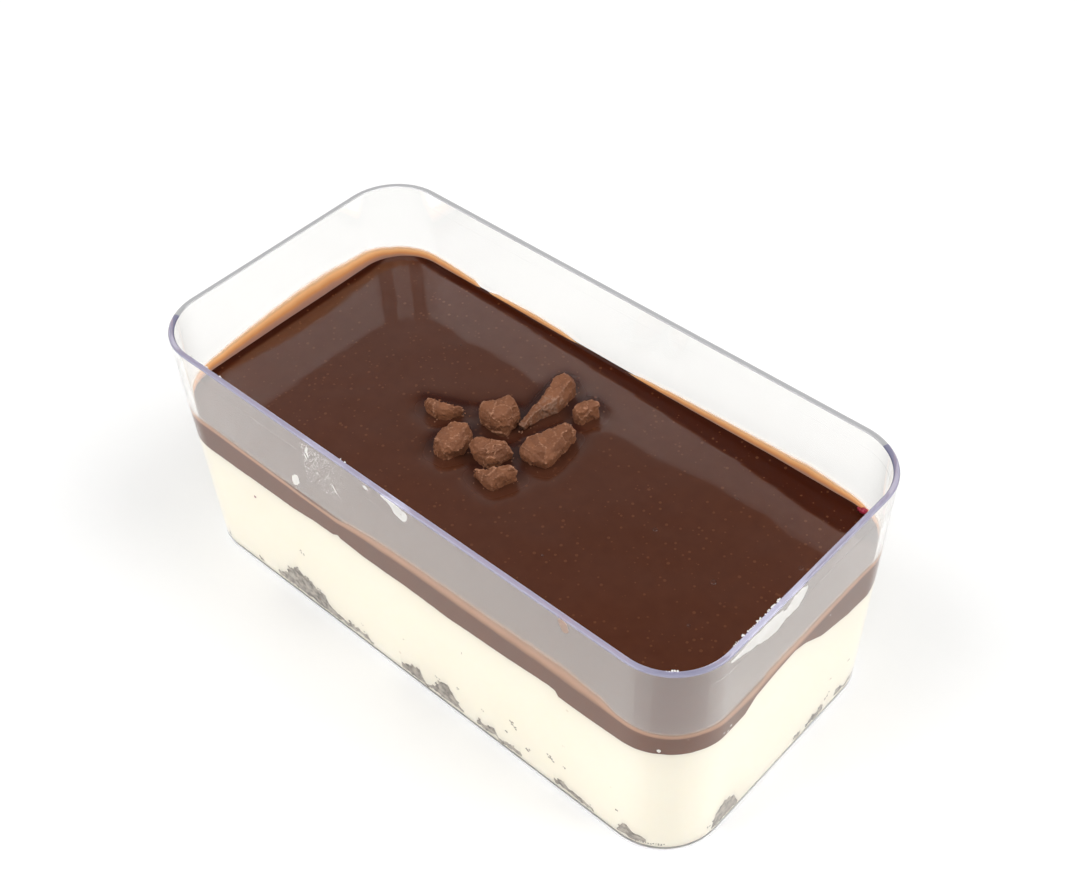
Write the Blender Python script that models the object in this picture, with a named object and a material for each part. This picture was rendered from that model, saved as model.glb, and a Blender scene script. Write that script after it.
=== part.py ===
"""A layered dessert in its clear rectangular box.

From the bottom up: a dark biscuit crumb base, a thick white cream, a poured chocolate
ganache, and eight broken pieces of chocolate lying on the ganache.
Everything is in metres, +Z up, with the origin under the middle of the box.
+X runs along the length of the box and +Y across it.
"""
import math
import random

import bmesh
import bpy

MM = 0.001
GAP = 0.3 * MM

# The box: a thin moulded wall with draft, round corners and a ledge for a lid
RIM_LENGTH = 127.0 * MM
RIM_WIDTH = 64.6 * MM
BASE_LENGTH = 124.6 * MM
BASE_WIDTH = 62.2 * MM
BOX_HEIGHT = 53.2 * MM
RIM_RADIUS = 11.6 * MM
BASE_RADIUS = 11.9 * MM
WALL = 1.1 * MM
FLOOR = 1.1 * MM
FOOT_CHAMFER = 0.7 * MM
LIP_CHAMFER = 0.25 * MM
LEDGE_HEIGHT = 49.2 * MM
LEDGE_STEP = 0.25 * MM
LEDGE_SLOPE = 0.5 * MM

# How finely each ring round the box is divided
CORNER_STEPS = 12
LONG_STEPS = 26
SHORT_STEPS = 10

# The levels inside the box
CRUMB_TOP = 6.5 * MM
CRUMB_EDGE = 0.4 * MM
CREAM_TOP = 29.8 * MM
GANACHE_TOP = 35.4 * MM
MENISCUS = 0.8 * MM
CRUMB_RINGS = (0.0 * MM, 1.3 * MM, 3.4 * MM, 7.0 * MM)
CREAM_RINGS = (0.0 * MM, 2.5 * MM, 6.0 * MM, 9.0 * MM)
MENISCUS_RINGS = (0.0 * MM, 0.6 * MM, 1.7 * MM)
CREAM_LEVEL_REACH = 9.0 * MM

# Where crumbs lie against the wall: place along x and y, height and half width, in mm
CRUMB_HEAPS = (
    (-37.0, -31, 3.2, 2.0),
    (-31.0, -31, 8.0, 3.4),
    (-24.5, -31, 5.8, 2.8),
    (-13.0, -31, 1.8, 2.2),
    (1.0, -31, 4.4, 2.8),
    (9.0, -31, 6.6, 2.6),
    (20.0, -31, 2.8, 2.4),
    (27.0, -31, 1.6, 2.0),
    (39.5, -31, 2.6, 4.0),
    (53.0, -30, 4.2, 2.6),
    (62, -16.5, 6.6, 3.0),
    (62, 10.0, 3.4, 2.6),
    (62, 21.5, 2.6, 2.4),
    (44.0, 31, 3.6, 3.4),
    (24.0, 31, 6.4, 3.6),
    (3.0, 31, 2.6, 3.0),
    (-16.0, 31, 5.2, 4.0),
    (-41.0, 31, 4.0, 3.0),
    (-62, 12.0, 5.6, 3.2),
    (-62, -9.0, 3.0, 2.8),
)

# Where the top of the cream swells or dips at the wall: x, y, rise and half width, in mm
CREAM_SWELLS = (
    (-44.0, -31, -0.9, 9.0),
    (-17.0, -31, 0.7, 4.0),
    (34.5, -31, 1.2, 4.5),
    (62, -5.0, 4.6, 6.5),
    (62, 18.0, -2.2, 6.0),
    (40.0, 31, 1.1, 9.0),
    (8.0, 31, -0.8, 8.0),
    (-22.0, 31, 1.3, 7.0),
    (-62, 14.0, 1.4, 7.0),
    (-62, -12.0, -0.7, 6.0),
)

# Each broken piece of chocolate, in mm: its middle, height at its low and high end, the
# direction in degrees in which it rises, and the corners of its outline round its middle
CHUNKS = {
    "chocolate_flake": {
        "middle": (-19.6, 0.8),
        "heights": (1.8, 2.6),
        "rises_to": 150,
        "corners": (
            (-3.6, -1.5), (-0.4, -1.0), (3.0, 0.6), (4.0, 1.9), (3.2, 0.2), (1.8, -1.7),
            (0.0, -2.8), (-1.5, -2.6), (-2.8, -2.3),
        ),
    },
    "chocolate_lump": {
        "middle": (-9.5, 5.5),
        "heights": (3.2, 5.0),
        "rises_to": 75,
        "corners": (
            (-4.0, -1.6), (-1.7, 1.6), (0.0, 3.0), (1.9, 3.2), (2.8, 2.2), (2.9, 0.5),
            (3.4, -1.8), (2.0, -2.9), (-0.1, -3.2), (-2.4, -2.7),
        ),
    },
    "chocolate_stick": {
        "middle": (-5.4, 13.8),
        "heights": (1.0, 4.4),
        "rises_to": 97,
        "corners": (
            (-0.5, -7.2), (-1.1, -1.1), (-1.7, 2.8), (-2.2, 5.8), (-1.4, 7.4), (0.3, 7.8),
            (1.6, 6.8), (2.4, 2.5), (2.5, 0.6), (0.9, -3.3), (0.7, -7.0),
        ),
    },
    "chocolate_bit": {
        "middle": (1.6, 17.0),
        "heights": (2.0, 2.8),
        "rises_to": 40,
        "corners": (
            (-2.4, -0.6), (-1.3, 1.3), (0.3, 2.2), (1.6, 2.4), (2.2, 1.8), (1.7, 0.5),
            (1.2, -0.8), (0.9, -2.1), (-0.4, -2.5), (-1.8, -1.7),
        ),
    },
    "chocolate_wedge": {
        "middle": (1.6, 6.1),
        "heights": (2.6, 3.3),
        "rises_to": 80,
        "corners": (
            (-2.6, -4.8), (-2.9, -3.2), (-1.2, 0.9), (0.2, 4.1), (1.4, 5.6), (2.6, 5.3),
            (3.4, 1.2), (3.8, -2.2), (3.6, -4.4), (1.3, -5.3), (-1.4, -5.3),
        ),
    },
    "chocolate_rock": {
        "middle": (-11.7, -4.7),
        "heights": (2.8, 4.0),
        "rises_to": 110,
        "corners": (
            (-1.6, -4.1), (-2.8, -2.2), (-2.3, 0.4), (-1.7, 2.1), (-0.4, 3.2), (0.9, 3.8),
            (1.8, 3.2), (2.1, 1.1), (2.7, -0.2), (2.0, -1.9), (1.1, -3.8),
        ),
    },
    "chocolate_nugget": {
        "middle": (-4.7, -2.2),
        "heights": (2.7, 3.3),
        "rises_to": 130,
        "corners": (
            (-3.8, -1.4), (-3.1, -0.2), (-0.2, 1.4), (0.9, 1.4), (2.2, 2.7), (3.1, 2.5),
            (2.8, 0.5), (2.5, -0.9), (1.7, -2.3), (-0.3, -2.7), (-2.2, -2.6),
        ),
    },
    "chocolate_shard": {
        "middle": (-0.1, -5.8),
        "heights": (1.2, 3.2),
        "rises_to": 45,
        "corners": (
            (-3.9, -2.1), (-1.6, -1.4), (-0.7, 0.1), (1.6, 2.3), (2.9, 2.6), (2.7, 1.0),
            (2.1, -1.0), (1.3, -2.5), (-0.5, -2.9), (-2.4, -2.3),
        ),
    },
}
CHUNK_FOOT = 0.95
CHUNK_TOP = 0.80
CHUNK_WAIST_HEIGHT = 0.45
CHUNK_CROWN = 0.35 * MM
CHUNK_ROUGHNESS = 0.22 * MM
CHUNK_SEED = 7

FINISHES = {
    "clear_plastic": {"color": (0.90, 0.90, 0.96), "roughness": 0.05},
    "biscuit_crumb": {"color": (0.085, 0.060, 0.050), "roughness": 0.90},
    "cream": {"color": (0.93, 0.88, 0.76), "roughness": 0.55},
    "ganache": {"color": (0.060, 0.020, 0.012), "roughness": 0.25},
    "milk_chocolate": {"color": (0.210, 0.095, 0.055), "roughness": 0.60},
}


def clear_scene():
    """Remove every object that the scene starts with."""
    for scene_object in list(bpy.data.objects):
        bpy.data.objects.remove(scene_object, do_unlink=True)


def make_material(name):
    """One Principled material with the colour and roughness named above."""
    finish = FINISHES[name]
    material = bpy.data.materials.new(name)
    material.use_nodes = True
    shader = material.node_tree.nodes["Principled BSDF"]
    shader.inputs["Base Color"].default_value = (*finish["color"], 1.0)
    shader.inputs["Roughness"].default_value = finish["roughness"]
    shader.inputs["Metallic"].default_value = 0.0
    if name == "clear_plastic":
        shader.inputs["Transmission Weight"].default_value = 1.0
    return material


def ring_stations(long_steps, short_steps):
    """The places round a rounded rectangle, anticlockwise.

    Each is the corner centre it belongs to, as a share of the straight sides, and the
    direction that points out of the wall there.
    """
    signs = ((1, 1), (-1, 1), (-1, -1), (1, -1))
    stations = []
    for quarter in range(4):
        here = signs[quarter]
        after = signs[(quarter + 1) % 4]
        for step in range(CORNER_STEPS + 1):
            angle = math.pi / 2 * (quarter + step / CORNER_STEPS)
            stations.append((here[0], here[1], math.cos(angle), math.sin(angle)))
        steps = long_steps if quarter % 2 == 0 else short_steps
        out = math.pi / 2 * (quarter + 1)
        for step in range(1, steps):
            share = step / steps
            along_x = here[0] + (after[0] - here[0]) * share
            along_y = here[1] + (after[1] - here[1]) * share
            stations.append((along_x, along_y, math.cos(out), math.sin(out)))
    return stations


def wall_point(station, z, inset):
    """A point at height z, inset from the outer face of the drafted wall."""
    share = z / BOX_HEIGHT
    rim_half_x = RIM_LENGTH / 2 - LEDGE_STEP
    rim_half_y = RIM_WIDTH / 2 - LEDGE_STEP
    half_x = BASE_LENGTH / 2 + (rim_half_x - BASE_LENGTH / 2) * share
    half_y = BASE_WIDTH / 2 + (rim_half_y - BASE_WIDTH / 2) * share
    radius = BASE_RADIUS + (RIM_RADIUS - BASE_RADIUS) * share
    centre_x, centre_y, out_x, out_y = station
    x = centre_x * (half_x - radius) + out_x * (radius - inset)
    y = centre_y * (half_y - radius) + out_y * (radius - inset)
    return (x, y, z)


def band(mesh, outer, inner):
    """Two triangles between each pair of neighbours on two rings, always split the same way."""
    count = len(outer)
    for i in range(count):
        j = (i + 1) % count
        mesh.faces.new((outer[i], outer[j], inner[j]))
        mesh.faces.new((outer[i], inner[j], inner[i]))


def add_object(name, mesh, material, smooth_angle):
    """Put a finished bmesh into the scene as one named object."""
    bmesh.ops.recalc_face_normals(mesh, faces=mesh.faces[:])
    data = bpy.data.meshes.new(name)
    mesh.to_mesh(data)
    mesh.free()
    data.materials.append(material)
    if smooth_angle:
        data.shade_smooth()
        data.set_sharp_from_angle(angle=math.radians(smooth_angle))
    scene_object = bpy.data.objects.new(name, data)
    bpy.context.collection.objects.link(scene_object)


def make_box(material):
    """The clear box: one profile carried round the rounded rectangle, closed by two floors."""
    ledge_low = LEDGE_HEIGHT - LEDGE_SLOPE / 2
    ledge_high = LEDGE_HEIGHT + LEDGE_SLOPE / 2
    profile = (
        (0.0, FOOT_CHAMFER),
        (FOOT_CHAMFER, 0.0),
        (ledge_low, 0.0),
        (ledge_high, -LEDGE_STEP),
        (BOX_HEIGHT - LIP_CHAMFER, -LEDGE_STEP),
        (BOX_HEIGHT, LIP_CHAMFER - LEDGE_STEP),
        (BOX_HEIGHT, WALL - LEDGE_STEP - LIP_CHAMFER),
        (BOX_HEIGHT - LIP_CHAMFER, WALL - LEDGE_STEP),
        (ledge_high, WALL - LEDGE_STEP),
        (ledge_low, WALL),
        (FLOOR, WALL),
    )
    stations = ring_stations(1, 1)
    mesh = bmesh.new()
    rings = [[mesh.verts.new(wall_point(s, z, inset)) for s in stations] for z, inset in profile]
    for lower, upper in zip(rings, rings[1:]):
        band(mesh, lower, upper)
    mesh.faces.new(rings[0])
    mesh.faces.new(rings[-1])
    add_object("clear_box", mesh, material, 30)


def make_layer(name, bottom, top, material):
    """A layer between two sets of rings, each set listed from the wall inwards."""
    mesh = bmesh.new()
    low = [[mesh.verts.new(point) for point in ring] for ring in bottom]
    high = [[mesh.verts.new(point) for point in ring] for ring in top]
    for rings in (low, high):
        for outer, inner in zip(rings, rings[1:]):
            band(mesh, outer, inner)
    band(mesh, low[0], high[0])
    mesh.faces.new(low[-1])
    mesh.faces.new(high[-1])
    add_object(name, mesh, material, 40)


def swell(station, spots):
    """The separate rises of the named spots at one place on the wall."""
    x, y, _ = wall_point(station, 0.0, WALL)
    rises = []
    for spot_x, spot_y, rise, width in spots:
        distance = math.hypot(x - spot_x * MM, y - spot_y * MM) / (width * MM)
        rises.append(rise * MM * math.exp(-distance * distance))
    return rises


def crumb_height(station, inset):
    """Top of the crumb base: low and patchy at the wall, level inside."""
    at_wall = FLOOR + GAP + CRUMB_EDGE + max(swell(station, CRUMB_HEAPS))
    share = min(inset / CRUMB_RINGS[-1], 1.0)
    return at_wall + (CRUMB_TOP - at_wall) * math.sin(share * math.pi / 2)


def cream_height(station, inset):
    """Top of the cream: wavy at the wall, level inside."""
    at_wall = CREAM_TOP + sum(swell(station, CREAM_SWELLS))
    share = min(inset / CREAM_LEVEL_REACH, 1.0)
    ease = share * share * (3 - 2 * share)
    return at_wall + (CREAM_TOP - at_wall) * ease


def height_rings(stations, insets, height, lift):
    """Rings that follow a height rule, clear of the wall, raised by lift and more where steep."""
    rings = []
    for number, inset in enumerate(insets):
        raised = lift * (1.0 if number == 0 else 1.6)
        ring = []
        for station in stations:
            z = height(station, inset) + raised
            ring.append(wall_point(station, z, WALL + GAP + inset))
        rings.append(ring)
    return rings


def make_contents(crumb, cream, ganache):
    """The three layers, each resting on the one below with a thin gap."""
    stations = ring_stations(LONG_STEPS, SHORT_STEPS)
    foot = [[wall_point(s, FLOOR + GAP, WALL + GAP) for s in stations]]
    crumb_top = height_rings(stations, CRUMB_RINGS, crumb_height, 0.0)
    make_layer("crumb_base", foot, crumb_top, crumb)

    cream_bottom = height_rings(stations, CRUMB_RINGS, crumb_height, GAP)
    cream_top = height_rings(stations, CREAM_RINGS, cream_height, 0.0)
    make_layer("cream_layer", cream_bottom, cream_top, cream)

    ganache_bottom = height_rings(stations, CREAM_RINGS, cream_height, GAP)
    surface = []
    for inset in MENISCUS_RINGS:
        share = 1 - inset / MENISCUS_RINGS[-1]
        z = GANACHE_TOP + MENISCUS * share * share
        surface.append([wall_point(s, z, WALL + GAP + inset) for s in stations])
    make_layer("ganache_layer", ganache_bottom, surface, ganache)


def make_chunk(name, spec, material, draw):
    """One broken piece: a foot, a waist and a smaller top, roughened and rising to one side."""
    middle_x, middle_y = (value * MM for value in spec["middle"])
    low, high = (value * MM for value in spec["heights"])
    heading = math.radians(spec["rises_to"])
    reach = max(math.hypot(x, y) for x, y in spec["corners"]) * MM
    foot_z = GANACHE_TOP + GAP

    def top_height(x, y):
        along = (x * math.cos(heading) + y * math.sin(heading)) / reach
        return low + (high - low) * (along + 1) / 2

    mesh = bmesh.new()
    rings = []
    for size, share in ((CHUNK_FOOT, 0.0), (1.0, CHUNK_WAIST_HEIGHT), (CHUNK_TOP, 1.0)):
        ring = []
        for corner_x, corner_y in spec["corners"]:
            x = corner_x * MM * size
            y = corner_y * MM * size
            z = share * top_height(x, y)
            if share > 0:
                x += draw.uniform(-CHUNK_ROUGHNESS, CHUNK_ROUGHNESS)
                y += draw.uniform(-CHUNK_ROUGHNESS, CHUNK_ROUGHNESS)
                z += draw.uniform(-CHUNK_ROUGHNESS, CHUNK_ROUGHNESS)
            ring.append(mesh.verts.new((middle_x + x, middle_y + y, foot_z + z)))
        rings.append(ring)
    for lower, upper in zip(rings, rings[1:]):
        band(mesh, lower, upper)
    mesh.faces.new(rings[0])
    crown = mesh.verts.new((middle_x, middle_y, foot_z + top_height(0, 0) + CHUNK_CROWN))
    top = rings[-1]
    for i, corner in enumerate(top):
        mesh.faces.new((corner, top[(i + 1) % len(top)], crown))
    add_object(name, mesh, material, 0)


def main():
    """Build the box, its layers and the chocolate on top."""
    clear_scene()
    materials = {name: make_material(name) for name in FINISHES}
    make_box(materials["clear_plastic"])
    make_contents(materials["biscuit_crumb"], materials["cream"], materials["ganache"])
    draw = random.Random(CHUNK_SEED)
    for name, spec in CHUNKS.items():
        make_chunk(name, spec, materials["milk_chocolate"], draw)


main()
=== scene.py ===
import math
import random

import bmesh
import bpy
import numpy as np
from mathutils import Matrix, Vector, geometry, noise


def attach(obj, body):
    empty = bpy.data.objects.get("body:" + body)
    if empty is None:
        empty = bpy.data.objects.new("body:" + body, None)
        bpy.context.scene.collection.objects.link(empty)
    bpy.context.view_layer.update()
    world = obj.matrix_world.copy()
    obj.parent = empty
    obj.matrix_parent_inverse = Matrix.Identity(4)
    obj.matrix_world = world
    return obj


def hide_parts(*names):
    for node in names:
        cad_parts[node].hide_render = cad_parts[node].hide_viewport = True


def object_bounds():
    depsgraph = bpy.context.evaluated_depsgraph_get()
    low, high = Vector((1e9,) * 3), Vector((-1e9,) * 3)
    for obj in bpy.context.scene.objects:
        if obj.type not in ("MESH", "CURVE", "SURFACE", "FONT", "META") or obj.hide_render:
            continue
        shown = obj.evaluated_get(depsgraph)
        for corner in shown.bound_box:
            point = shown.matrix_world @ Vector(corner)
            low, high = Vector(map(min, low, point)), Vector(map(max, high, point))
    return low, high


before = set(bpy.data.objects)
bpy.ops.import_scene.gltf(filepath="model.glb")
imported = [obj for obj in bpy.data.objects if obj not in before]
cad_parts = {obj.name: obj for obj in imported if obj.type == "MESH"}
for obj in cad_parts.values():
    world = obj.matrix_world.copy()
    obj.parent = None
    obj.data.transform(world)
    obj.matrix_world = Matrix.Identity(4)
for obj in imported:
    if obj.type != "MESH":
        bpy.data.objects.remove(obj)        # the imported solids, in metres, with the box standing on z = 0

mm = 0.001
noise.seed_set(1)        # otherwise the noise vectors start from the clock
cadLow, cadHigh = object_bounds()
print("frame loaded, box", [round(v / mm, 1) for v in (*cadLow, *cadHigh)])


# the wall of the box, which everything inside it follows

boxSizes = {
    "halfX": cadHigh.x,
    "halfY": cadHigh.y,
    "height": cadHigh.z,
    "lean": 1.2 * mm,          # how far each side leans out from foot to rim
    "rimRadius": 11.6 * mm,
    "footRadius": 11.9 * mm,
    "wall": 1.1 * mm,
    "floor": 1.1 * mm,
    "seam": 49.2 * mm,         # fine mould line round the rim
    "seamDepth": 0.03 * mm,
    "seamHalf": 0.12 * mm,
    "footBand": 1.3 * mm,      # up to here the foot is painted as a pale band, light that comes through the edge of the floor
    "hazeFrom": 35.6 * mm,     # above here the inside of the sides toward the camera is hazed, whitish and less clear, least at the near corner
    "footRound": 0.7 * mm,
    "lipRound": 0.32 * mm,
    "roundSteps": 6,
    "cornerSteps": 30,
    "flatHold": 0.05 * mm,     # rows this close to a rounding keep the flat faces flat
    "nearCorner": 0.03,        # share of a side that counts as beside the corner
}


def ringStations(cornerSteps, longShares, shortShares):
    # anticlockwise places round a rounded rectangle: share of the straight sides, way out
    signs = ((1, 1), (-1, 1), (-1, -1), (1, -1))
    rows = []
    for quarter in range(4):
        here, after = signs[quarter], signs[(quarter + 1) % 4]
        for step in range(cornerSteps + 1):
            turn = math.pi / 2 * (quarter + step / cornerSteps)
            rows.append((here[0], here[1], math.cos(turn), math.sin(turn)))
        turn = math.pi / 2 * (quarter + 1)
        for share in longShares if quarter % 2 == 0 else shortShares:
            rows.append((
                here[0] + (after[0] - here[0]) * share,
                here[1] + (after[1] - here[1]) * share,
                math.cos(turn), math.sin(turn)))
    return np.array(rows)


def evenShares(steps):
    return [step / steps for step in range(1, steps)]


def wallRing(stations, z, inset):
    # points at height z, inset from the outer face of the leaning wall
    s = boxSizes
    z = np.broadcast_to(np.asarray(z, float), len(stations))
    share = z / s["height"]
    halfX = s["halfX"] - s["lean"] * (1 - share)
    halfY = s["halfY"] - s["lean"] * (1 - share)
    radius = s["footRadius"] + (s["rimRadius"] - s["footRadius"]) * share
    x = stations[:, 0] * (halfX - radius) + stations[:, 2] * (radius - inset)
    y = stations[:, 1] * (halfY - radius) + stations[:, 3] * (radius - inset)
    return np.stack([x, y, z], axis=1)


def turnOutwards(mesh, merge=0.0):
    # all faces to the outside, with points closer than merge joined first
    work = bmesh.new()
    work.from_mesh(mesh)
    if merge:
        bmesh.ops.remove_doubles(work, verts=work.verts[:], dist=merge)
    bmesh.ops.recalc_face_normals(work, faces=work.faces[:])
    work.to_mesh(mesh)
    work.free()


def addMesh(name, points, faces, materials, slots=None, smooth=35):
    mesh = bpy.data.meshes.new(name)
    mesh.from_pydata([tuple(p) for p in points], [], faces)
    for material in materials:
        mesh.materials.append(material)
    if slots is not None:
        mesh.polygons.foreach_set("material_index", slots)
    turnOutwards(mesh)
    mesh.shade_smooth()
    mesh.set_sharp_from_angle(angle=math.radians(smooth))
    piece = bpy.data.objects.new(name, mesh)
    bpy.context.scene.collection.objects.link(piece)
    return piece


def meshFromRings(name, rings, materials, slotAt=lambda band, i: 0, closed=False, capLast=True):
    # quads between neighbouring rings, with flat caps or joined end to end
    count = len(rings[0])
    faces, slots = [], []
    bands = len(rings) if closed else len(rings) - 1
    for band in range(bands):
        a, b = band * count, ((band + 1) % len(rings)) * count
        for i in range(count):
            j = (i + 1) % count
            faces.append((a + i, a + j, b + j, b + i))
            slots.append(slotAt(band, i))
    if not closed:
        faces.append(tuple(range(count))[::-1])
        slots.append(slotAt(0, 0))
    if not closed and capLast:
        last = (len(rings) - 1) * count
        faces.append(tuple(last + i for i in range(count)))
        slots.append(slotAt(bands - 1, 0))
    return addMesh(name, np.concatenate(rings), faces, materials, slots)


def paintPoints(piece, name, values):
    # a number for each point, for a material to read
    layer = piece.data.attributes.new(name, "FLOAT", "POINT")
    layer.data.foreach_set("value", np.asarray(values, np.float32))


def settle(piece, slot, *nodes):
    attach(piece, "root")
    if nodes:
        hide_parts(*nodes)


def ripple(points, size, seed):
    # smooth noise between -1 and 1, with waves of about the given size
    shift = Vector((seed * 17.3, seed * 5.1, seed * 9.7))
    return np.array([noise.noise(Vector(p) / size + shift) for p in points])


def smoothStep(low, high, value):
    share = np.clip((np.asarray(value, float) - low) / (high - low), 0, 1)
    return share * share * (3 - 2 * share)


# shader groups that several finishes share

def newMaskGroup(name, **inputs):
    # a group that puts out one mask from 0 to 1
    group = bpy.data.node_groups.new(name, "ShaderNodeTree")
    for label, value in inputs.items():
        socket = group.interface.new_socket(name=label, in_out="INPUT", socket_type="NodeSocketFloat")
        socket.default_value = value
    group.interface.new_socket(name="Mask", in_out="OUTPUT", socket_type="NodeSocketFloat")
    given, result = group.nodes.new("NodeGroupInput"), group.nodes.new("NodeGroupOutput")
    return group, given.outputs, result.inputs["Mask"]


def mathNode(tree, operation, first, second, clamp=False):
    node = tree.nodes.new("ShaderNodeMath")
    node.operation = operation
    node.use_clamp = clamp
    for socket, value in zip(node.inputs, (first, second)):
        if isinstance(value, (int, float)):
            socket.default_value = value
        else:
            tree.links.new(value, socket)
    return node.outputs[0]


def makeGrainGroup():
    # cloudy variation
    group, given, mask = newMaskGroup("fineGrain", Scale=400.0, Contrast=1.0)
    place = group.nodes.new("ShaderNodeTexCoord")
    cloud = group.nodes.new("ShaderNodeTexNoise")
    cloud.inputs["Detail"].default_value = 5.0
    group.links.new(place.outputs["Object"], cloud.inputs["Vector"])
    group.links.new(given["Scale"], cloud.inputs["Scale"])
    centred = mathNode(group, "SUBTRACT", cloud.outputs["Fac"], 0.5)
    scaled = mathNode(group, "MULTIPLY", centred, given["Contrast"])
    group.links.new(mathNode(group, "ADD", scaled, 0.5, clamp=True), mask)
    return group


def makeSpeckGroup():
    # sparse round specks, where Share is the share of cells that hold one
    group, given, mask = newMaskGroup("specks", Scale=300.0, Radius=0.15, Share=0.3)
    place = group.nodes.new("ShaderNodeTexCoord")
    cells = group.nodes.new("ShaderNodeTexVoronoi")
    group.links.new(place.outputs["Object"], cells.inputs["Vector"])
    group.links.new(given["Scale"], cells.inputs["Scale"])
    split = group.nodes.new("ShaderNodeSeparateColor")
    group.links.new(cells.outputs["Color"], split.inputs[0])
    chosen = mathNode(group, "LESS_THAN", split.outputs[0], given["Share"])
    size = mathNode(group, "MULTIPLY", split.outputs[1], given["Radius"])
    inside = mathNode(group, "SUBTRACT", size, cells.outputs["Distance"])
    edge = mathNode(group, "DIVIDE", inside, given["Radius"])
    soft = mathNode(group, "MULTIPLY", edge, 4.0, clamp=True)
    group.links.new(mathNode(group, "MULTIPLY", soft, chosen), mask)
    return group


grainGroup = makeGrainGroup()
speckGroup = makeSpeckGroup()


def startMaterial(name, roughness, ior=1.45, specular=0.5):
    material = bpy.data.materials.new(name)
    material.use_nodes = True
    shader = material.node_tree.nodes["Principled BSDF"]
    shader.inputs["Roughness"].default_value = roughness
    shader.inputs["IOR"].default_value = ior
    shader.inputs["Specular IOR Level"].default_value = specular
    return material, material.node_tree, shader


def placeGroup(tree, group, **values):
    node = tree.nodes.new("ShaderNodeGroup")
    node.node_tree = group
    for label, value in values.items():
        node.inputs[label].default_value = value
    return node.outputs["Mask"]


def grainMask(tree, scale, contrast):
    return placeGroup(tree, grainGroup, Scale=scale, Contrast=contrast)


def speckMask(tree, scale, radius, share):
    return placeGroup(tree, speckGroup, Scale=scale, Radius=radius, Share=share)


def mixColours(tree, factor, first, second):
    mix = tree.nodes.new("ShaderNodeMix")
    mix.data_type = "RGBA"
    tree.links.new(factor, mix.inputs[0])
    for socket, value in ((mix.inputs[6], first), (mix.inputs[7], second)):
        if isinstance(value, tuple):
            socket.default_value = (*value, 1.0)
        else:
            tree.links.new(value, socket)
    return mix.outputs[2]


def sprinkle(tree, base, colour, strength, *specks):
    # specks of another colour over a base colour
    faint = mathNode(tree, "MULTIPLY", speckMask(tree, *specks), strength)
    return mixColours(tree, faint, base, colour)


def rampColours(tree, value, stops):
    ramp = tree.nodes.new("ShaderNodeValToRGB")
    elements = ramp.color_ramp.elements
    while len(elements) < len(stops):
        elements.new(1.0)
    for element, (place, colour) in zip(elements, stops):
        element.position = place
        element.color = (*colour, 1.0)
    tree.links.new(value, ramp.inputs[0])
    return ramp.outputs[0]


def addBump(tree, shader, height, strength, distance):
    bump = tree.nodes.new("ShaderNodeBump")
    bump.inputs["Strength"].default_value = strength
    bump.inputs["Distance"].default_value = distance
    tree.links.new(height, bump.inputs["Height"])
    tree.links.new(bump.outputs["Normal"], shader.inputs["Normal"])


def pointValue(tree, name):
    node = tree.nodes.new("ShaderNodeAttribute")
    node.attribute_name = name
    return node.outputs["Fac"]


# camera

cameraSetup = {
    "place": (141.05 * mm, -141.94 * mm, 243.03 * mm),
    "turn": 43.6306,           # degrees round the box from the front
    "rise": 45.233,            # degrees above the table
    "roll": -2.2323,
    "lens": 52.55,
    "sensor": 36.0,
}


def wayTo(turn, rise):
    # unit vector towards a place that is turn degrees round from the front and rise degrees up
    turn, rise = math.radians(turn), math.radians(rise)
    return Vector((math.sin(turn) * math.cos(rise), -math.cos(turn) * math.cos(rise), math.sin(rise)))


def makeCamera():
    roll = math.radians(cameraSetup["roll"])
    back = wayTo(cameraSetup["turn"], cameraSetup["rise"])
    right = Vector((0, 0, 1)).cross(back).normalized()
    up = back.cross(right)
    rolledRight = right * math.cos(roll) + up * math.sin(roll)
    rolledUp = -right * math.sin(roll) + up * math.cos(roll)
    data = bpy.data.cameras.new("camera")
    data.lens = cameraSetup["lens"]
    data.sensor_width = cameraSetup["sensor"]
    data.clip_start = 0.01
    camera = bpy.data.objects.new("camera", data)
    axes = Matrix((rolledRight, rolledUp, back)).transposed().to_4x4()
    camera.matrix_world = Matrix.Translation(cameraSetup["place"]) @ axes
    bpy.context.scene.collection.objects.link(camera)
    bpy.context.scene.camera = camera


makeCamera()
print("camera placed")


# table and light

studio = {
    "tableColour": (0.845, 0.845, 0.840),
    "tableDim": 0.985,         # the table's cloudy places, against its colour
    "tableSize": 5.0,
    "sky": ((0.62, 0.55), (0.84, 0.06)),    # sine of the height above the horizon, brightness there
    "lamps": {
        # name: degrees round the box from the front, degrees up, metres away, size, radiance
        "leftPanel": (-36.0, 44.0, 2.2, 1.4, 4.1),
        "rightPanel": (124.0, 43.0, 2.2, 1.4, 4.5),
        "frontPanel": (44.0, 56.0, 2.2, 1.1, 3.8),
        "topPanel": (223.6, 84.0, 2.2, 1.8, 0.6),
    },
}


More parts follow.
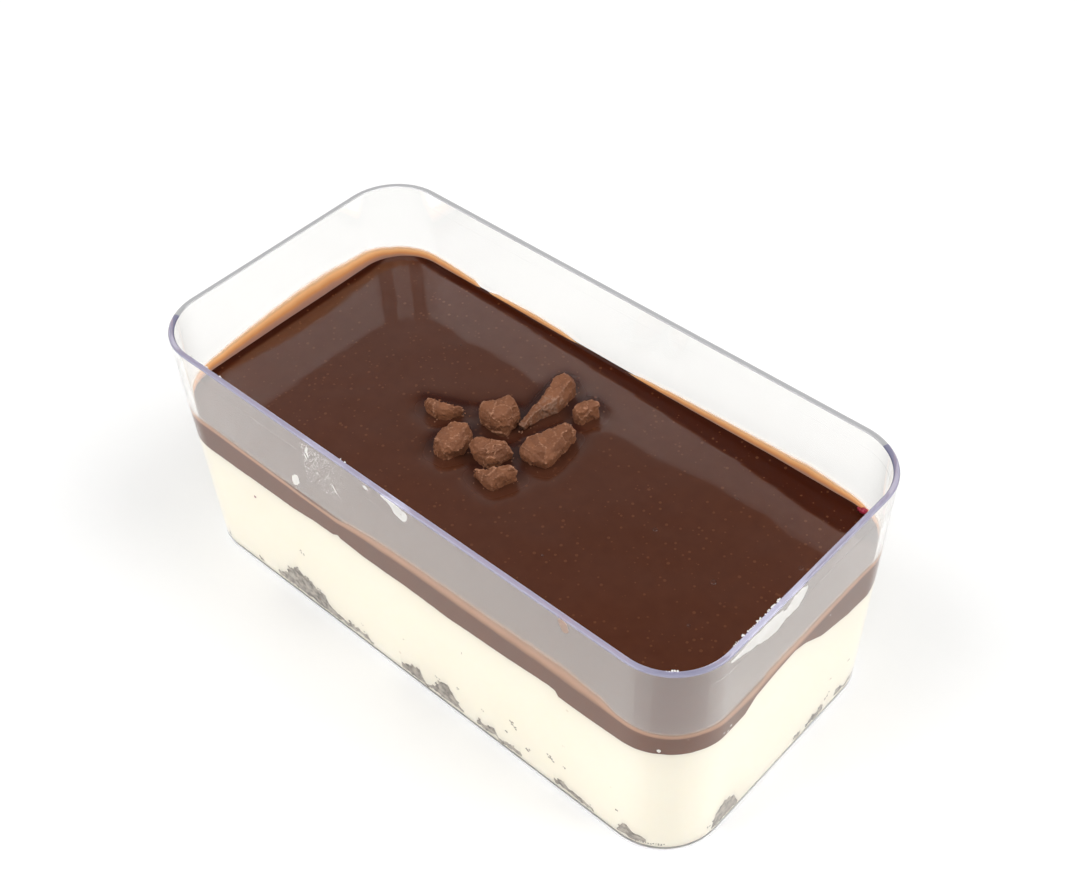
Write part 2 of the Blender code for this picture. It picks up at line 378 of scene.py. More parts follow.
def makeStudio():
    material, tree, shader = startMaterial("paleTable", 0.7, specular=0.2)
    colour = studio["tableColour"]
    dim = tuple(c * studio["tableDim"] for c in colour)
    tree.links.new(mixColours(tree, grainMask(tree, 30.0, 0.3), colour, dim), shader.inputs["Base Color"])
    half, under = studio["tableSize"] / 2, -0.1 * mm
    corners = [(-half, -half, under), (half, -half, under), (half, half, under), (-half, half, under)]
    addMesh("table", corners, [(0, 1, 2, 3)], [material])
    world = bpy.data.worlds.new("studio")
    world.use_nodes = True
    tree = world.node_tree
    split = tree.nodes.new("ShaderNodeSeparateXYZ")
    tree.links.new(tree.nodes.new("ShaderNodeTexCoord").outputs["Generated"], split.inputs[0])
    stops = [(place, (grey,) * 3) for place, grey in studio["sky"]]
    sky = rampColours(tree, split.outputs["Z"], stops)
    tree.links.new(sky, tree.nodes["Background"].inputs["Color"])
    bpy.context.scene.world = world
    for name, (turn, rise, away, size, radiance) in studio["lamps"].items():
        data = bpy.data.lights.new(name, "AREA")
        data.shape = "SQUARE"
        data.size = size
        data.energy = radiance * math.pi * size * size
        lamp = bpy.data.objects.new(name, data)
        lamp.location = wayTo(turn, rise) * away
        lamp.rotation_mode = "QUATERNION"
        lamp.rotation_quaternion = (-wayTo(turn, rise)).to_track_quat("-Z", "Y")
        bpy.context.scene.collection.objects.link(lamp)
    bpy.context.scene.view_settings.view_transform = "Standard"


makeStudio()
print("table and lamps ready")


# clear box

plastic = {
    "ior": 1.57,
    "shadow": (0.96, 0.96, 0.97),
    "finishes": (              # name, colour, roughness and clearness
        ("clearPlastic", (0.998, 0.998, 0.986), 0.012, 1.0),
        # the rim finishes are painted light and shade: a violet glow with a dark inner line on the sides
        # toward the camera, and a lighter pale band on the far sides
        ("violetRim", (0.50, 0.487, 0.71), 0.10, 0.64),
        # the pale foot is painted light, for light that comes through the edge of the floor
        ("paleFoot", (0.90, 0.90, 0.93), 0.15, 0.30),
        ("hazedPlastic", (0.99, 0.95, 0.905), 0.02, 0.86),
        ("paleRim", (0.92, 0.92, 0.94), 0.03, 0.60),
        ("rimInside", (0.16, 0.16, 0.27), 0.10, 0.30),
        ("lightHaze", (0.99, 0.95, 0.905), 0.02, 0.895),
        ("faintHaze", (0.99, 0.95, 0.905), 0.02, 0.93)),
    # these finishes start where a side faces the near corner this much, which is 1.41 at the corner
    "violetFrom": -0.5,
    "hazedFrom": 0.1,
    "lightFrom": 1.12,
    "faintFrom": 1.31,
}


def clearMaterial(name, colour, roughness, clearness):
    # light from the lamps goes straight through, and the eye sees real clear plastic
    material, tree, shader = startMaterial(name, roughness, ior=plastic["ior"])
    shader.inputs["Base Color"].default_value = (*colour, 1.0)
    shader.inputs["Transmission Weight"].default_value = clearness
    addBump(tree, shader, grainMask(tree, 25.0, 1.0), 0.03, 0.05 * mm)
    letThrough = tree.nodes.new("ShaderNodeBsdfTransparent")
    letThrough.inputs["Color"].default_value = (*plastic["shadow"], 1.0)
    path = tree.nodes.new("ShaderNodeLightPath")
    mix = tree.nodes.new("ShaderNodeMixShader")
    tree.links.new(path.outputs["Is Shadow Ray"], mix.inputs[0])
    tree.links.new(shader.outputs[0], mix.inputs[1])
    tree.links.new(letThrough.outputs[0], mix.inputs[2])
    tree.links.new(mix.outputs[0], tree.nodes["Material Output"].inputs["Surface"])
    return material


def boxProfile():
    # height and inset, from the middle of the foot up the outside, over the lip and down the inside
    s = boxSizes
    lip, foot, wall, top = s["lipRound"], s["footRound"], s["wall"], s["height"]
    seam, half, hold = s["seam"], s["seamHalf"], s["flatHold"]
    quarter = [math.pi / 2 * k / s["roundSteps"] for k in range(s["roundSteps"] + 1)]
    outside = [(foot - foot * math.cos(a), foot - foot * math.sin(a)) for a in quarter]
    outside += [(foot + hold, 0.0), (s["footBand"], 0.0), (seam - half - hold, 0.0), (seam - half, 0.0)]
    outside += [(seam, s["seamDepth"]), (seam + half, 0.0), (seam + half + hold, 0.0)]
    outside += [(top - lip - hold, 0.0)]
    outside += [(top - lip + lip * math.sin(a), lip - lip * math.cos(a)) for a in quarter]
    inside = [(top - lip + lip * math.cos(a), wall - lip + lip * math.sin(a)) for a in quarter]
    low = s["floor"] + foot
    inside += [(top - lip - hold, wall), (s["hazeFrom"], wall), (low + hold, wall)]
    inside += [(low - foot * math.sin(a), wall + foot - foot * math.cos(a)) for a in quarter]
    return outside, inside


def makeBox():
    s = boxSizes
    outside, inside = boxProfile()
    beside = s["nearCorner"]
    stations = ringStations(
        s["cornerSteps"], [beside / 2, *evenShares(5), 1 - beside / 2], [beside, 0.33, 0.67, 1 - beside])
    rows = outside + inside
    rings = [wallRing(stations, z, inset) for z, inset in rows]
    facing = stations[:, 2] - stations[:, 3]    # above 0 on the two sides that are near the camera
    slack = 0.01 * mm
    insideLip = len(outside) + s["roundSteps"] // 2

    def finishAt(band, i):
        low, high = sorted((rows[band][0], rows[band + 1][0]))
        # on the lip: a painted glow and a painted shade line on the sides toward the camera, a painted pale
        # band on the far sides
        if low > s["height"] - s["lipRound"] - slack:
            if facing[i] <= plastic["violetFrom"]:
                return "paleRim"
            return "rimInside" if band >= insideLip else "violetRim"
        if band < len(outside):
            # the foot band is painted pale, for light that comes through the edge of the floor
            return "paleFoot" if high < s["footBand"] + slack else "clearPlastic"
        if low < s["hazeFrom"] - slack or facing[i] <= plastic["hazedFrom"]:
            return "clearPlastic"
        if facing[i] > plastic["faintFrom"]:
            return "faintHaze"
        return "lightHaze" if facing[i] > plastic["lightFrom"] else "hazedPlastic"

    names = [finish[0] for finish in plastic["finishes"]]
    finishes = [clearMaterial(*finish) for finish in plastic["finishes"]]
    box = meshFromRings("box", rings, finishes, lambda band, i: names.index(finishAt(band, i)))
    settle(box, "clear_plastic", "clear_box")


makeBox()
print("box made")


# where the layers meet the wall: places along each side and heights there, in mm

layers = {
    "reach": 0.08 * mm,        # how far the food reaches into the wall
    "crumbTop": 6.5 * mm,
    "creamTop": 29.8 * mm,
    "surface": 35.4 * mm,
    "climb": 0.8 * mm,         # how far the ganache climbs the wall
    "climbLength": 0.9 * mm,
    "crumbs": {
        "front": [
            (-55.0, 0), (-54.0, 2.4), (-53.0, 2.7), (-52.2, 0), (-44.6, 0), (-43.8, 2.6), (-42.6, 2.9),
            (-41.6, 0), (-38.6, 0), (-37.8, 2.6), (-36.4, 4.0), (-34.4, 6.2), (-31.6, 8.5), (-30.4, 8.8),
            (-28.9, 7.8), (-25.5, 6.7), (-23.4, 6.3), (-23.0, 4.6), (-21.4, 3.7), (-19.4, 2.9),
            (-16.4, 3.0), (-14.2, 2.7), (-12.4, 3.2), (-10.8, 2.3), (-10.2, 0), (-3.6, 0), (-3.0, 3.6),
            (-1.2, 4.2), (0.6, 4.9), (2.1, 5.3), (2.6, 3.4), (4.0, 2.4), (5.8, 2.9), (6.6, 4.6),
            (7.4, 6.4), (9.6, 6.8), (10.9, 5.4), (11.7, 3.3), (13.2, 2.4), (13.8, 0), (15.8, 0),
            (16.6, 2.6), (18.5, 3.2), (20.9, 4.1), (21.8, 2.6), (23.0, 2.3), (24.6, 2.5), (26.0, 3.0),
            (27.2, 2.9), (28.4, 0), (34.4, 0), (35.4, 2.9), (37.4, 3.9), (38.7, 3.2), (40.6, 3.5),
            (42.4, 3.0), (44.2, 2.5), (45.2, 0), (48.8, 0), (49.6, 2.6), (51.0, 4.9), (52.2, 5.0),
            (53.8, 3.9), (56.0, 3.2), (57.8, 0)],
        "right": [
            (-20.4, 0), (-19.4, 5.6), (-18.8, 6.5), (-17.0, 7.4), (-14.2, 6.2), (-12.9, 2.8), (-12.0, 0),
            (2.8, 0), (3.6, 2.5), (5.6, 2.6), (6.4, 0), (6.9, 0), (7.4, 2.9), (9.4, 3.5), (11.9, 4.3),
            (12.6, 2.4), (13.2, 0), (15.8, 0), (16.6, 3.5), (19.2, 2.6), (20.8, 3.2), (23.2, 3.4),
            (24.6, 0)],
        "back": [
            (48.0, 0), (46.0, 3.2), (43.0, 4.6), (40.5, 3.1), (39.0, 0), (29.0, 0), (27.0, 4.8),
            (23.5, 7.2), (20.0, 4.2), (17.5, 0), (6.0, 0), (3.0, 3.4), (0.0, 2.9), (-2.0, 0), (-11.0, 0),
            (-14.0, 5.4), (-18.0, 6.2), (-22.0, 3.4), (-24.0, 0), (-37.0, 0), (-40.0, 4.6), (-43.0, 3.1),
            (-45.0, 0)],
        "left": [
            (16.5, 0), (14.0, 5.6), (10.5, 6.4), (8.0, 3.0), (6.5, 0), (-6.0, 0), (-8.5, 3.8),
            (-11.5, 3.0), (-13.0, 0)],
    },
    "cream": {
        "front": [
            (-52.0, 28.9), (-43.8, 28.9), (-36.4, 29.1), (-27.4, 29.1), (-22.0, 29.9), (-16.6, 29.9),
            (-15.2, 30.8), (-14.3, 30.3), (-8.6, 29.8), (1.2, 30.1), (12.2, 29.8), (24.3, 30.5),
            (34.9, 31.4), (36.2, 31.2), (37.1, 30.1), (45.0, 30.1), (50.0, 30.4), (57.5, 31.0)],
        "right": [
            (-25.0, 30.9), (-20.1, 30.4), (-13.8, 30.5), (-11.4, 32.6), (-6.0, 33.8), (-1.4, 34.2),
            (1.6, 33.3), (6.6, 30.1), (14.6, 27.9), (20.6, 27.5), (25.0, 29.0)],
        "back": [(50.0, 29.9), (38.0, 31.0), (22.0, 29.7), (8.0, 29.0), (-22.0, 31.1), (-46.0, 29.3)],
        "left": [(14.0, 31.2), (-12.0, 29.1)],
    },
    "filmFoot": {
        "front": [
            (-45.0, 35.1), (-15.1, 34.3), (-7.6, 35.1), (2.0, 35.6), (18.9, 35.6), (36.0, 35.8),
            (44.2, 35.6), (54.0, 35.4)],
        "right": [
            (-24.0, 35.2), (-17.1, 33.8), (-12.3, 33.2), (-4.9, 34.4), (2.1, 34.6), (9.3, 35.1),
            (16.8, 35.3), (25.0, 35.2)],
        "back": [(50.0, 35.3), (-50.0, 35.3)],
        "left": [(25.0, 35.3), (-25.0, 35.3)],
    },
    "filmTop": {
        "front": [
            (-50.0, 37.5), (-41.7, 37.1), (-34.6, 36.8), (-27.7, 36.5), (-21.0, 36.2), (-14.8, 36.4),
            (-10.6, 37.8), (-3.9, 39.1), (2.4, 39.6), (10.7, 40.0), (22.1, 40.4), (30.7, 40.8),
            (38.9, 41.3), (46.0, 39.7), (48.6, 37.9), (55.0, 37.2)],
        "right": [
            (-25.0, 37.2), (-15.8, 37.1), (-10.2, 37.4), (-8.9, 38.4), (-1.9, 38.2), (5.2, 38.5),
            (12.6, 38.3), (20.3, 37.6), (26.0, 38.0)],
        "back": [
            (55.0, 37.6), (45.4, 38.8), (40.6, 39.1), (28.5, 38.5), (15.9, 37.9), (4.0, 37.0),
            (-0.7, 36.0), (-12.3, 36.3), (-16.3, 37.3), (-21.8, 37.6), (-33.2, 37.2), (-36.0, 36.3),
            (-37.6, 36.2), (-39.5, 37.7), (-47.2, 38.3), (-54.7, 38.6)],
        "left": [(27.0, 38.9), (19.4, 40.7), (5.2, 42.0), (-8.9, 40.6), (-23.0, 38.3), (-28.0, 37.4)],
    },
}

fineStations = ringStations(40, evenShares(300), evenShares(116))
footLine = wallRing(fineStations, 0.0, boxSizes["wall"])
aroundWall = np.concatenate([[0], np.cumsum(np.linalg.norm(np.diff(footLine, axis=0), axis=1))])
wholeWay = aroundWall[-1] + np.linalg.norm(footLine[0] - footLine[-1])


def nearestStation(side, along):
    # the fine station closest to a place on one side of the box, given in mm
    spot = {"front": (along, -31), "back": (along, 31), "right": (62, along), "left": (-62, along)}[side]
    return int(np.argmin(np.hypot(footLine[:, 0] - spot[0] * mm, footLine[:, 1] - spot[1] * mm)))


def edgeAround(sides):
    # heights all round the wall, joined up from the places named on each side
    found = sorted(
        (aroundWall[nearestStation(side, along)], height * mm)
        for side, places in sides.items() for along, height in places)
    places, heights = np.array(found).T
    return np.interp(aroundWall, places, heights, period=wholeWay)


def wallPlace(side, along, height, inset):
    # a point on the wall, at a place along one side and a height in mm
    i = nearestStation(side, along)
    return Vector(wallRing(fineStations[i:i + 1], height * mm, inset)[0])


# waves of three sizes that run round the wall, then how many mm of each an edge has
wobble = ripple(footLine, 7 * mm, 3)
fineWobble = ripple(footLine, 1.6 * mm, 4)
grit = ripple(footLine, 0.7 * mm, 5)
creamEdge = edgeAround(layers["cream"]) + (0.12 * wobble + 0.07 * fineWobble) * mm
crumbGuide = edgeAround(layers["crumbs"])
crumbEdge = crumbGuide + (0.9 * fineWobble + 0.6 * grit) * mm
crumbFoot = (2.0 + 0.25 * wobble + 0.7 * grit) * mm
filmFoot = edgeAround(layers["filmFoot"]) + 0.08 * mm * wobble
filmTop = np.maximum(edgeAround(layers["filmTop"]) + (0.05 * fineWobble + 0.12 * wobble) * mm,
                     filmFoot + 0.6 * mm)
print("layer edges worked out")


# cream

cream = {
    "light": (0.910, 0.868, 0.758),
    "warm": (0.885, 0.835, 0.715),
    "shade": (0.66, 0.61, 0.52),
    "speck": (0.55, 0.40, 0.28),
    "besideCrumbs": (0.40, 1.2),     # depth of shade, and how many mm it reaches
    "underGanache": (0.30, 0.6),
    "rows": 26,
    "topRings": (1.0 * mm, 3.0 * mm, 8.0 * mm),
}


def creamMaterial():
    material, tree, shader = startMaterial("whiteCream", 0.6, specular=0.0)
    base = mixColours(tree, grainMask(tree, 45.0, 1.6), cream["light"], cream["warm"])
    dotted = sprinkle(tree, base, cream["speck"], 0.35, 330.0, 0.13, 0.05)
    shaded = mixColours(tree, pointValue(tree, "shade"), dotted, cream["shade"])
    tree.links.new(shaded, shader.inputs["Base Color"])
    shader.inputs["Subsurface Weight"].default_value = 0.25
    shader.inputs["Subsurface Radius"].default_value = (1.0, 0.8, 0.6)
    shader.inputs["Subsurface Scale"].default_value = 1.2 * mm
    addBump(tree, shader, grainMask(tree, 700.0, 1.0), 0.1, 0.05 * mm)
    return material


def creamShade(ring):
    # a little darker beside the crumbs and under the ganache
    shows = smoothStep(-0.2 * mm, 1.0 * mm, crumbGuide - crumbFoot)
    aboveCrumb = np.clip((ring[:, 2] - crumbEdge) / mm, 0, 9)
    belowTop = np.clip((creamEdge - ring[:, 2]) / mm, 0, 9)
    (crumbDepth, crumbReach), (topDepth, topReach) = cream["besideCrumbs"], cream["underGanache"]
    beside = crumbDepth * np.exp(-(aboveCrumb / crumbReach) ** 2) * shows
    return np.clip(beside + topDepth * np.exp(-(belowTop / topReach) ** 2), 0, 1)


def makeCream():
    inset = boxSizes["wall"] - layers["reach"]
    low, foot = boxSizes["floor"] - layers["reach"], boxSizes["footRound"]
    rings = [
        wallRing(fineStations, low, inset + foot),
        wallRing(fineStations, low + 0.2 * mm, inset + 0.2 * mm)]
    start = low + foot
    for row in range(cream["rows"] + 1):
        z = start + (creamEdge - start) * row / cream["rows"]
        rings.append(wallRing(fineStations, z, inset))
    for depth in cream["topRings"]:
        ease = depth / cream["topRings"][-1]
        z = creamEdge * (1 - ease) + layers["creamTop"] * ease
        rings.append(wallRing(fineStations, z, inset + depth))
    piece = meshFromRings("cream", rings, [creamMaterial()])
    paintPoints(piece, "shade", np.concatenate([creamShade(ring) for ring in rings]))
    settle(piece, "cream", "cream_layer")


makeCream()
print("cream made")


# biscuit crumbs

crumbs = {
    "dark": (0.085, 0.068, 0.055),
    "light": (0.430, 0.370, 0.315),
    "pressed": (0.54, 0.49, 0.43),
    "caramel": (0.28, 0.135, 0.060),
    "seed": 11,
    "grainSizes": (0.30, 0.95),     # mm
    "rows": 8,
    "topRings": (0.6 * mm, 2.5 * mm, 7.0 * mm),
    "rimStrewn": (0.30, 0.40, 1.0),     # along the top of a heap: spread in mm, chance and size of grains
    "footStrewn": (0.15, 0.16, 0.6),    # and along its foot
    "cornerLine": (54, 61, 46),         # from and to along the front in mm, and how many grains
    "loose": (                  # side, along, height and size in mm: crumbs apart in the cream
        ("front", 25.5, 11.2, 0.8), ("front", 26.1, 10.5, 0.8), ("front", 26.8, 9.9, 0.6),
        ("front", 29.1, 6.1, 0.9), ("front", 34.2, 9.3, 0.8), ("front", 35.0, 8.7, 0.7),
        ("front", 18.5, 7.7, 0.5), ("front", 24.0, 6.5, 0.6), ("front", 14.5, 21.6, 0.4),
        ("front", -1.2, 11.9, 0.4), ("front", 12.0, 8.6, 0.7), ("front", 37.9, 9.1, 0.5),
        ("front", 49.6, 8.1, 0.6), ("front", 37.8, 16.0, 0.3), ("front", -27.8, 15.6, 0.5),
        ("front", -28.3, 16.2, 0.5), ("front", -13.3, 6.0, 0.4), ("front", 6.9, 7.4, 0.6),
        ("right", 13.3, 10.3, 0.5), ("right", 19.1, 10.2, 0.5), ("right", 13.0, 5.2, 0.8),
        ("right", 14.0, 5.9, 0.6), ("right", -20.6, 3.4, 0.6), ("back", 12.0, 9.4, 0.8),
        ("back", -22.0, 12.2, 0.6), ("back", 33.0, 6.8, 0.9), ("back", -35.0, 8.1, 0.7),
        ("left", 4.0, 8.8, 0.7), ("left", -15.0, 6.9, 0.8)),
}


def crumbMaterial():
    material, tree, shader = startMaterial("cocoaCrumb", 0.85, specular=0.1)
    grain = grainMask(tree, 900.0, 3.4)
    base = mixColours(tree, grain, crumbs["dark"], crumbs["light"])
    patches = grainMask(tree, 420.0, 3.6)
    smeared = mathNode(tree, "MULTIPLY", patches, pointValue(tree, "pressed"), clamp=True)
    pressed = mixColours(tree, smeared, base, crumbs["pressed"])
    dotted = sprinkle(tree, pressed, crumbs["caramel"], 1.0, 700.0, 0.2, 0.08)
    tree.links.new(dotted, shader.inputs["Base Color"])
    addBump(tree, shader, grain, 0.7, 0.25 * mm)
    return material


def lumpAt(points, faces, middle, size, draw, squash=(1, 1, 1)):
    # one small uneven lump, added to the growing lists
    work = bmesh.new()
    bmesh.ops.create_icosphere(work, subdivisions=1, radius=size / 2)
    start = len(points)
    for vertex in work.verts:
        p = vertex.co * draw.uniform(0.72, 1.18)
        points.append(tuple(Vector(middle) + Vector((p.x * squash[0], p.y * squash[1], p.z * squash[2]))))
    for face in work.faces:
        faces.append(tuple(start + v.index for v in face.verts))
    work.free()


def makeCrumbs(material):
    inset = boxSizes["wall"] - layers["reach"] - 0.05 * mm
    low = boxSizes["floor"] - layers["reach"] + 0.05 * mm
    hidden = crumbEdge < crumbFoot + 0.15 * mm  # there the cream covers them
    edge = np.maximum(crumbEdge, crumbFoot + 0.15 * mm)
    tuck = np.where(hidden, 1.2 * mm, 0.0)
    rings = [
        wallRing(fineStations, low, inset + 8 * mm), wallRing(fineStations, low, inset + 1.4 * mm),
        wallRing(fineStations, crumbFoot - 0.3 * mm, inset + 0.9 * mm)]
    pressed = [np.zeros(len(fineStations))] * 3
    for row in range(crumbs["rows"] + 1):
        share = row / crumbs["rows"]
        ring = wallRing(fineStations, crumbFoot + (edge - crumbFoot) * share, inset)
        lumps = ripple(ring, 1.1 * mm, 8)
        dents = 0.05 * mm * np.clip(lumps - 0.3, 0, 1)
        rings.append(wallRing(fineStations, ring[:, 2], inset + dents + tuck))
        inner = np.minimum(share, 1 - share) * 2    # the middle of a heap is pressed to the wall
        pressed.append(np.clip(0.2 + 1.4 * lumps + 0.6 * inner, 0, 1) * (0.2 + 0.6 * inner))
    for depth in crumbs["topRings"]:
        ease = math.sin(math.pi / 2 * depth / crumbs["topRings"][-1])
        z = edge * (1 - ease) + layers["crumbTop"] * ease
        rings.append(wallRing(fineStations, z, inset + depth + tuck))
        pressed.append(np.zeros(len(fineStations)))
    base = meshFromRings("crumbs", rings, [material])
    paintPoints(base, "pressed", np.concatenate(pressed))
    settle(base, "biscuit_crumb", "crumb_base")


def makeLooseCrumbs(material):
    draw = random.Random(crumbs["seed"])
    points, faces = [], []
    sizeLow, sizeHigh = crumbs["grainSizes"]
    for i in range(len(fineStations)):          # grains along the ragged rims of each heap
        if crumbGuide[i] < 2.2 * mm:
            continue
        for z, strewn in ((crumbEdge[i], "rimStrewn"), (crumbFoot[i], "footStrewn")):
            spread, chance, scale = crumbs[strewn]
            if draw.random() > chance:
                continue
            size = draw.uniform(sizeLow, sizeHigh) * mm * scale
            z = max(z + draw.gauss(0, spread) * mm, 1.9 * mm)
            place = wallRing(fineStations[i:i + 1], z, boxSizes["wall"])[0]
            lumpAt(points, faces, place, size, draw)
    for side, along, height, size in crumbs["loose"]:
        squash = (1, 0.6, 1) if side in ("front", "back") else (0.6, 1, 1)      # flat against the wall
        for _ in range(4):
            part = size * draw.uniform(0.40, 0.80)
            x, z = along + draw.gauss(0, 0.4) * size, height + draw.gauss(0, 0.3) * size
            place = wallPlace(side, x, z, boxSizes["wall"] - 0.1 * mm)
            lumpAt(points, faces, place, part * mm, draw, squash)
    start, end, count = crumbs["cornerLine"]
    for _ in range(count):                      # a thin line of grains round the near corner of the base
        i = nearestStation("front", draw.uniform(start, end))
        size = draw.uniform(0.25, 0.5) * mm
        z = draw.uniform(1.9, 2.4) * mm
        place = wallRing(fineStations[i:i + 1], z, boxSizes["wall"] + size * 0.1)[0]
        lumpAt(points, faces, place, size, draw)
    grains = addMesh("looseCrumbs", points, faces, [material], smooth=60)
    paintPoints(grains, "pressed", np.zeros(len(points)))
    settle(grains, "biscuit_crumb")


crumbFinish = crumbMaterial()
makeCrumbs(crumbFinish)
makeLooseCrumbs(crumbFinish)
print("crumbs made")


# ganache

ganache = {
    "deep": (0.050, 0.0146, 0.0064),
    "soft": (0.064, 0.0196, 0.0090),
    # painted shade colour for the top, beside the far walls and behind the chocolate pieces
    "hollow": (0.026, 0.0040, 0.0010),
    "speck": (0.150, 0.055, 0.024),
    "side": (0.150, 0.046, 0.014),
    "sideDark": (0.120, 0.036, 0.012),
    "sideSpeck": (0.33, 0.20, 0.13),
    "roughness": 0.045,
    "cloudedRoughness": 0.33,       # added where dust lies round the chocolate pieces
    "rings": 64,
    "longWave": 0.18 * mm,
    "shortWave": 0.055 * mm,
    "crinkle": 0.026 * mm,
    "hollowDepth": 0.36 * mm,
    "speckGlow": (0.35, 0.45),      # strength of the fine and the larger specks
    "gloss": 0.5,
    "dullGloss": 0.06,
    "wallRings": (0.0, 0.12, 0.28, 0.5, 0.8, 1.2, 1.7, 2.3),    # mm from the wall, then even steps inwards
    "evenRings": (2.8, 31.0),
    "hollowWidth": 2.2 * mm,
    "shadowShift": (1.8 * mm, -2.0 * mm),   # the painted dark reflection lies on the far side of each piece
    "shadowWidth": 1.7 * mm,
    "dustWidth": 3.2 * mm,
    "strip": (                 # x, and width there, in mm, of the dull strip of painted shade beside the far long wall
        (-60.0, 1.5), (-30.0, 2.0), (0.0, 3.0), (16.0, 3.9), (31.0, 4.8), (46.0, 6.4), (54.0, 6.9),
        (61.0, 4.6)),
    "endStrip": 1.5 * mm,      # and its width beside the far short wall
    "stripGap": 0.4 * mm,      # the strip starts this far from the wall, and its edge fades over this
    "stripShade": 0.85,
    "bubbles": (               # x, y and size in mm of small bubbles and pits in the top
        (29.5, 3.3, 0.9), (44.4, 0.6, 1.1), (53.8, 12.8, 1.0), (-4.7, 11.2, 0.8), (47.0, -9.5, 0.6),
        (18.5, -14.0, 0.5), (36.0, 18.5, 0.6), (-30.0, 16.0, 0.5)),
}


def ganacheMaterial(name, specular):
    material, tree, shader = startMaterial(name, ganache["roughness"], ior=1.46, specular=specular)
    bothClouds = mathNode(tree, "ADD", grainMask(tree, 55.0, 1.3), grainMask(tree, 420.0, 2.2))
    base = mixColours(tree, mathNode(tree, "MULTIPLY", bothClouds, 0.5), ganache["deep"], ganache["soft"])
    # painted shade: the top is mixed towards the shade colour by the painted shade value
    shaded = mixColours(tree, pointValue(tree, "hollow"), base, ganache["hollow"])
    fineGlow, largeGlow = ganache["speckGlow"]
    fine = mathNode(tree, "MULTIPLY", speckMask(tree, 900.0, 0.32, 0.75), fineGlow)
    large = mathNode(tree, "MULTIPLY", speckMask(tree, 500.0, 0.11, 0.40), largeGlow)
    specks = mathNode(tree, "MAXIMUM", fine, large)
    tree.links.new(mixColours(tree, specks, shaded, ganache["speck"]), shader.inputs["Base Color"])
    wear = mathNode(tree, "MULTIPLY", grainMask(tree, 160.0, 1.0), 0.04)
    clouded = mathNode(tree, "MULTIPLY", pointValue(tree, "clouded"), ganache["cloudedRoughness"])
    rough = mathNode(tree, "ADD", mathNode(tree, "ADD", wear, clouded), ganache["roughness"] - 0.02)
    tree.links.new(rough, shader.inputs["Roughness"])
    relief = mathNode(tree, "MULTIPLY", grainMask(tree, 900.0, 1.0), 0.2)
    addBump(tree, shader, mathNode(tree, "ADD", relief, specks), 0.10, 0.04 * mm)
    return material


def ganacheSideMaterial():
    material, tree, shader = startMaterial("ganacheAtWall", 0.6, specular=0.0)
    base = mixColours(tree, grainMask(tree, 130.0, 1.6), ganache["side"], ganache["sideDark"])
    dotted = sprinkle(tree, base, ganache["sideSpeck"], 1.0, 800.0, 0.16, 0.12)
    tree.links.new(dotted, shader.inputs["Base Color"])
    return material


chunkNames = [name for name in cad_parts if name.startswith("chocolate_")]


def chunkOutline(name):
    places = {(round(v.co.x, 6), round(v.co.y, 6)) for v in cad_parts[name].data.vertices}
    corners = [Vector(place) for place in sorted(places)]
    return np.array([corners[i] for i in geometry.convex_hull_2d(corners)])


chunkOutlines = {name: chunkOutline(name) for name in chunkNames}


def nearChunks(points, width):
    # 1 on a chocolate piece, falling away over the width round it
    near = np.zeros(len(points))
    for outline in chunkOutlines.values():
        away = np.clip(outlineDistance(points, outline), 0, 1)
        near = np.maximum(near, np.exp(-(away / width) ** 2))
    return near


def outlineDistance(points, outline):
    # distance from each point to an outline, below zero inside it
    best = np.full(len(points), 1e9)
    inside = np.ones(len(points), bool)
    for a, b in zip(outline, np.roll(outline, -1, axis=0)):
        edge = b - a
        share = np.clip(((points - a) @ edge) / (edge @ edge), 0, 1)
        gap = points - a - share[:, None] * edge
        best = np.minimum(best, np.hypot(gap[:, 0], gap[:, 1]))
        inside &= (edge[0] * (points[:, 1] - a[1]) - edge[1] * (points[:, 0] - a[0])) > 0
    return np.where(inside, -best, best)


def ganacheHeight(points, wallDistance):
    # the poured top: waves, a climb at the wall and a hollow round each chocolate piece
    level = points * (1, 1, 0)
    z = layers["surface"] + ganache["longWave"] * ripple(level, 26 * mm, 21)
    z += ganache["shortWave"] * ripple(level, 9 * mm, 22)
    z += ganache["crinkle"] * ripple(level, 4.5 * mm, 23)
    z += layers["climb"] * np.exp(-wallDistance / layers["climbLength"])
    for outline in chunkOutlines.values():
        away = np.clip(outlineDistance(points[:, :2], outline), 0, 1)
        z -= ganache["hollowDepth"] * np.exp(-(away / ganache["hollowWidth"]) ** 2)
    return z


def inStrip(points):
    # how far a point lies in the dull strip of painted shade beside the two far walls, wider towards the
    # right end
    s, fade = boxSizes, ganache["stripGap"]
    farLong = s["halfY"] - s["wall"] - fade - points[:, 1]
    farShort = s["halfX"] - s["wall"] - fade + points[:, 0]
    wide = np.interp(points[:, 0] / mm, *zip(*ganache["strip"])) * mm
    wide += 0.25 * mm * ripple(points * (1, 1, 0), 3 * mm, 27)
    beside = 1 - smoothStep(-fade, fade, farLong - wide)
    return np.maximum(beside, 1 - smoothStep(-fade, fade, farShort - ganache["endStrip"]))


def paintedGanacheShade(points):
    # how deep the painted shade on the top is: beside the two far walls and behind the chocolate pieces
    behind = nearChunks(points[:, :2] + np.array(ganache["shadowShift"]), ganache["shadowWidth"])
    return np.maximum(ganache["stripShade"] * inStrip(points), behind)


